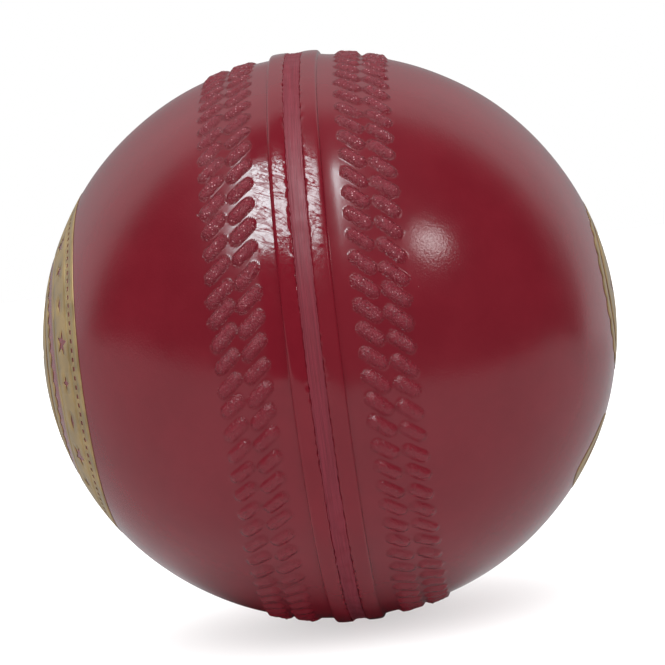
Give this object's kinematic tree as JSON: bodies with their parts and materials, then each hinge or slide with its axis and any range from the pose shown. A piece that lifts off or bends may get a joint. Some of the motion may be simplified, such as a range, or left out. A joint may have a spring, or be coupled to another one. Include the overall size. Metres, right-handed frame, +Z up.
{
  "type": "cricket ball",
  "caption": "Round practice cricket ball: dark red moulded cover in two halves, raised seam with moulded slanted stitches, gold stamped emblems on the cheeks, layered cork and yarn core.",
  "frame": {"origin": "centre of the ball", "axes": "+X along the seam axis through the middle of the cheek that carries the roundel and plaque, seam in the YZ plane, +Z up, front of the ball towards -Y"},
  "size_m": [0.0722, 0.0718, 0.0718],
  "materials": {
    "cover": "glossy dark red moulded PVC with sandy textured stitches",
    "bead": "matte trimmed PVC, scored along its length",
    "foil": "aged gold hot-stamped foil, satin",
    "yarn": "worsted yarn, tightly wound",
    "cork": "agglomerated cork",
    "rubber": "matte solid rubber"
  },
  "bodies": {
    "root": {"nucleus": "rubber", "cork_cup_upper": "cork", "cork_cup_lower": "cork", "inner_winding": "yarn", "cork_quarter_1": "cork", "cork_quarter_2": "cork", "cork_quarter_3": "cork", "cork_quarter_4": "cork", "outer_winding": "yarn", "cover_half_right": "cover", "cover_half_left": "cover", "parting_bead": "bead", "foil_ring": "foil", "foil_medallion": "foil", "foil_roundel": "foil", "foil_plaque": "foil"}
  },
  "joints": []
}
